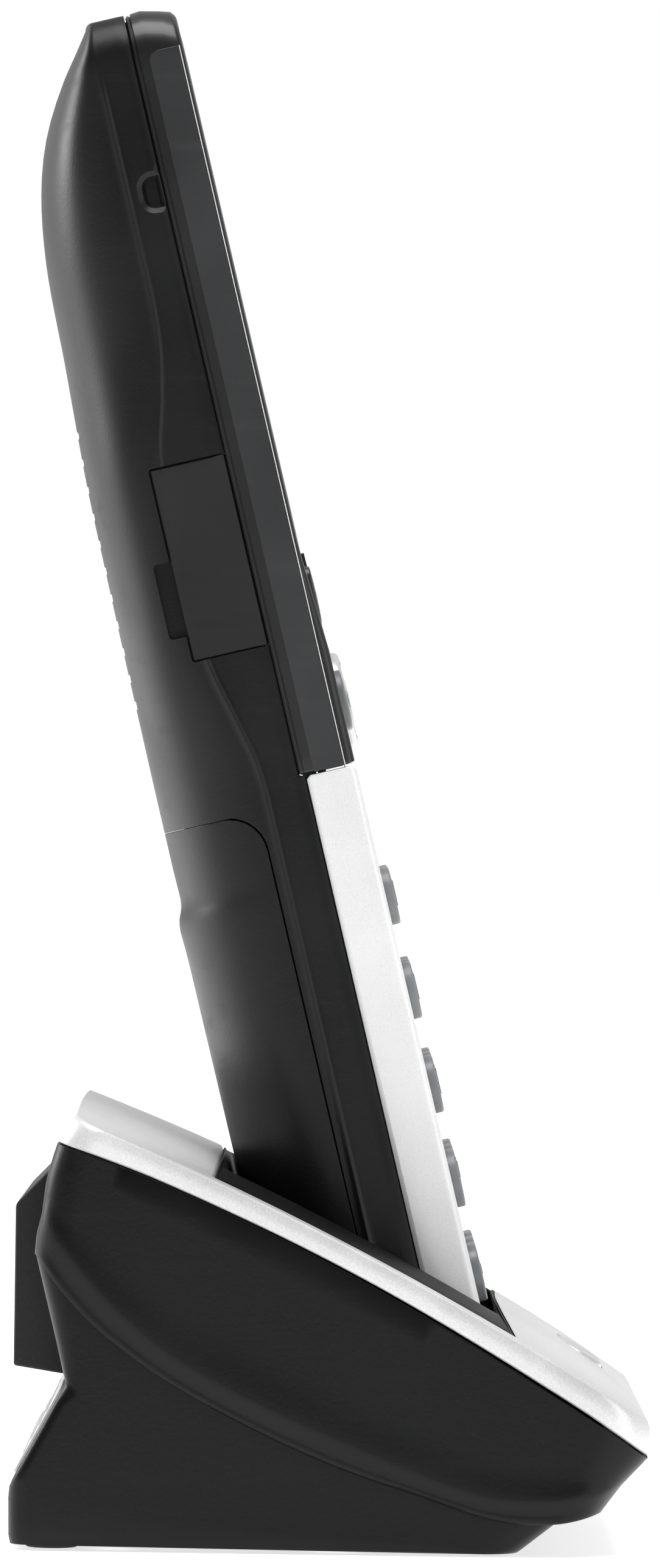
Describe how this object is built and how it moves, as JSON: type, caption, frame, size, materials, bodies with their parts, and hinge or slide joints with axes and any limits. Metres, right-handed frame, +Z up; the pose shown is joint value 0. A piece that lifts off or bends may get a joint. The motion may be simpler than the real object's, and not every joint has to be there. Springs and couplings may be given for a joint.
{
  "type": "cordless telephone with charging base",
  "caption": "Cordless telephone handset with display and keypad that leans back in a small wedge-shaped charging base.",
  "frame": {"origin": "middle of the base's footprint, on the surface it stands on", "axes": "+Z up, front (keypad side) towards -Y, +X to the right of someone facing the keypad"},
  "size_m": [0.084, 0.0744, 0.18],
  "materials": {
    "base_black": "fine satin moulded",
    "silver_cover": "brushed silver lacquer on plastic",
    "cradle_black": "satin moulded",
    "plate_black": "textured",
    "connector_black": "satin moulded",
    "label_grey": "satin blank label",
    "foot_rubber": "matt",
    "circuit_board": "solder mask",
    "tinned_metal": "tinned",
    "jack_plastic": "moulded",
    "contact_metal": "nickel plated",
    "silver_key": "satin silver lacquer on plastic",
    "screw_steel": "zinc plated",
    "handset_black": "soft satin moulded",
    "battery_cover_black": "soft satin moulded",
    "front_black": "polished",
    "silver_bezel": "pale silver lacquer on plastic",
    "side_grey": "satin",
    "lens_black": "polished",
    "display_grey": "display glass",
    "speaker_metal": "drawn",
    "key_rubber": "matt",
    "battery_sleeve": "shrunk sleeve",
    "flap_rubber": "matt",
    "dial_key_grey": "satin grey",
    "side_key_grey": "satin grey",
    "soft_key_black": "satin"
  },
  "bodies": {
    "base": {"base_hull": "base_black", "base_lower_body": "base_black", "base_top_cover": "silver_cover", "cradle_insert": "cradle_black", "base_bottom_plate": "plate_black", "connector_box": "connector_black", "rating_label": "label_grey", "rubber_feet": "foot_rubber", "base_circuit_board": "circuit_board", "base_antenna": "tinned_metal", "line_jack": "jack_plastic", "power_jack": "jack_plastic", "page_switch": "jack_plastic", "base_screws": "screw_steel"},
    "handset": {"handset_circuit_board": "circuit_board", "handset_contacts": "contact_metal", "battery_contacts": "contact_metal", "handset_screws": "screw_steel", "rear_case": "handset_black", "front_case": "front_black", "keypad_bezel": "silver_bezel", "side_trims": "side_grey", "display_lens": "lens_black", "display_module": "display_grey", "earpiece_grille": "front_black", "earpiece_speaker": "speaker_metal", "loudspeaker": "speaker_metal", "microphone": "speaker_metal", "key_mat": "key_rubber", "battery_pack": "battery_sleeve", "headset_jack": "jack_plastic"},
    "dial_1": {"dial_1": "dial_key_grey"},
    "dial_2": {"dial_2": "dial_key_grey"},
    "dial_3": {"dial_3": "dial_key_grey"},
    "dial_4": {"dial_4": "dial_key_grey"},
    "dial_5": {"dial_5": "dial_key_grey"},
    "dial_6": {"dial_6": "dial_key_grey"},
    "dial_7": {"dial_7": "dial_key_grey"},
    "dial_8": {"dial_8": "dial_key_grey"},
    "dial_9": {"dial_9": "dial_key_grey"},
    "dial_star": {"dial_star": "dial_key_grey"},
    "dial_0": {"dial_0": "dial_key_grey"},
    "dial_hash": {"dial_hash": "dial_key_grey"},
    "flash_key": {"flash_key": "dial_key_grey"},
    "mute_key": {"mute_key": "dial_key_grey"},
    "speaker_key": {"speaker_key": "dial_key_grey"},
    "soft_key_left": {"soft_key_left": "soft_key_black"},
    "soft_key_middle": {"soft_key_middle": "soft_key_black"},
    "soft_key_right": {"soft_key_right": "soft_key_black"},
    "talk_key": {"talk_key": "side_key_grey"},
    "off_key": {"off_key": "side_key_grey"},
    "navigation_ring": {"navigation_ring": "silver_key"},
    "select_key": {"select_key": "silver_key"},
    "headset_flap": {"headset_flap": "flap_rubber"},
    "battery_cover": {"battery_cover": "battery_cover_black"},
    "charge_contact_left": {"charge_contact_left": "contact_metal"},
    "charge_contact_right": {"charge_contact_right": "contact_metal"},
    "page_button": {"page_button": "silver_key"}
  },
  "joints": [
    {"name": "handset_lift", "type": "slide", "parent": "base", "child": "handset", "axis": [0, 0.2385, 0.9711], "range_m": [0, 0.06]},
    {"name": "dial_1_press", "type": "slide", "parent": "handset", "child": "dial_1", "axis": [0, 0.9711, -0.2385], "range_m": [0, 0.0006], "stiffness_N_per_m": 600, "springref_m": -0.0004},
    {"name": "dial_2_press", "type": "slide", "parent": "handset", "child": "dial_2", "axis": [0, 0.9711, -0.2385], "range_m": [0, 0.0006], "stiffness_N_per_m": 600, "springref_m": -0.0004},
    {"name": "dial_3_press", "type": "slide", "parent": "handset", "child": "dial_3", "axis": [0, 0.9711, -0.2385], "range_m": [0, 0.0006], "stiffness_N_per_m": 600, "springref_m": -0.0004},
    {"name": "dial_4_press", "type": "slide", "parent": "handset", "child": "dial_4", "axis": [0, 0.9711, -0.2385], "range_m": [0, 0.0006], "stiffness_N_per_m": 600, "springref_m": -0.0004},
    {"name": "dial_5_press", "type": "slide", "parent": "handset", "child": "dial_5", "axis": [0, 0.9711, -0.2385], "range_m": [0, 0.0006], "stiffness_N_per_m": 600, "springref_m": -0.0004},
    {"name": "dial_6_press", "type": "slide", "parent": "handset", "child": "dial_6", "axis": [0, 0.9711, -0.2385], "range_m": [0, 0.0006], "stiffness_N_per_m": 600, "springref_m": -0.0004},
    {"name": "dial_7_press", "type": "slide", "parent": "handset", "child": "dial_7", "axis": [0, 0.9711, -0.2385], "range_m": [0, 0.0006], "stiffness_N_per_m": 600, "springref_m": -0.0004},
    {"name": "dial_8_press", "type": "slide", "parent": "handset", "child": "dial_8", "axis": [0, 0.9711, -0.2385], "range_m": [0, 0.0006], "stiffness_N_per_m": 600, "springref_m": -0.0004},
    {"name": "dial_9_press", "type": "slide", "parent": "handset", "child": "dial_9", "axis": [0, 0.9711, -0.2385], "range_m": [0, 0.0006], "stiffness_N_per_m": 600, "springref_m": -0.0004},
    {"name": "dial_star_press", "type": "slide", "parent": "handset", "child": "dial_star", "axis": [0, 0.9711, -0.2385], "range_m": [0, 0.0006], "stiffness_N_per_m": 600, "springref_m": -0.0004},
    {"name": "dial_0_press", "type": "slide", "parent": "handset", "child": "dial_0", "axis": [0, 0.9711, -0.2385], "range_m": [0, 0.0006], "stiffness_N_per_m": 600, "springref_m": -0.0004},
    {"name": "dial_hash_press", "type": "slide", "parent": "handset", "child": "dial_hash", "axis": [0, 0.9711, -0.2385], "range_m": [0, 0.0006], "stiffness_N_per_m": 600, "springref_m": -0.0004},
    {"name": "flash_key_press", "type": "slide", "parent": "handset", "child": "flash_key", "axis": [0, 0.9711, -0.2385], "range_m": [0, 0.0006], "stiffness_N_per_m": 600, "springref_m": -0.0004},
    {"name": "mute_key_press", "type": "slide", "parent": "handset", "child": "mute_key", "axis": [0, 0.9711, -0.2385], "range_m": [0, 0.0006], "stiffness_N_per_m": 600, "springref_m": -0.0004},
    {"name": "speaker_key_press", "type": "slide", "parent": "handset", "child": "speaker_key", "axis": [0, 0.9711, -0.2385], "range_m": [0, 0.0006], "stiffness_N_per_m": 600, "springref_m": -0.0004},
    {"name": "soft_key_left_press", "type": "slide", "parent": "handset", "child": "soft_key_left", "axis": [0, 0.9711, -0.2385], "range_m": [0, 0.0006], "stiffness_N_per_m": 600, "springref_m": -0.0004},
    {"name": "soft_key_middle_press", "type": "slide", "parent": "handset", "child": "soft_key_middle", "axis": [0, 0.9711, -0.2385], "range_m": [0, 0.0006], "stiffness_N_per_m": 600, "springref_m": -0.0004},
    {"name": "soft_key_right_press", "type": "slide", "parent": "handset", "child": "soft_key_right", "axis": [0, 0.9711, -0.2385], "range_m": [0, 0.0006], "stiffness_N_per_m": 600, "springref_m": -0.0004},
    {"name": "talk_key_press", "type": "slide", "parent": "handset", "child": "talk_key", "axis": [0, 0.9711, -0.2385], "range_m": [0, 0.0006], "stiffness_N_per_m": 600, "springref_m": -0.0004},
    {"name": "off_key_press", "type": "slide", "parent": "handset", "child": "off_key", "axis": [0, 0.9711, -0.2385], "range_m": [0, 0.0006], "stiffness_N_per_m": 600, "springref_m": -0.0004},
    {"name": "navigation_tilt", "type": "hinge", "parent": "handset", "child": "navigation_ring", "pos_m": [0, 0.00214, 0.09843], "axis": [1, 0, 0], "range_deg": [-3, 3], "stiffness_Nm_per_rad": 0.02},
    {"name": "select_key_press", "type": "slide", "parent": "handset", "child": "select_key", "axis": [0, 0.9711, -0.2385], "range_m": [0, 0.0005], "stiffness_N_per_m": 600, "springref_m": -0.0004},
    {"name": "flap_hinge", "type": "hinge", "parent": "handset", "child": "headset_flap", "pos_m": [-0.024, 0.01832, 0.12659], "axis": [0, 0.9711, -0.2385], "range_deg": [0, 100], "stiffness_Nm_per_rad": 0.001, "springref_deg": -11.46},
    {"name": "battery_cover_slide", "type": "slide", "parent": "handset", "child": "battery_cover", "axis": [0, -0.2385, -0.9711], "range_m": [0, 0.0038]},
    {"name": "charge_contact_left_press", "type": "slide", "parent": "base", "child": "charge_contact_left", "axis": [0, -0.2385, -0.9711], "range_m": [0, 0.0008], "stiffness_N_per_m": 300, "springref_m": -0.0004},
    {"name": "charge_contact_right_press", "type": "slide", "parent": "base", "child": "charge_contact_right", "axis": [0, -0.2385, -0.9711], "range_m": [0, 0.0008], "stiffness_N_per_m": 300, "springref_m": -0.0004},
    {"name": "page_button_press", "type": "slide", "parent": "base", "child": "page_button", "axis": [0, 0.5097, -0.8603], "range_m": [0, 0.0005], "stiffness_N_per_m": 600, "springref_m": -0.0004}
  ]
}
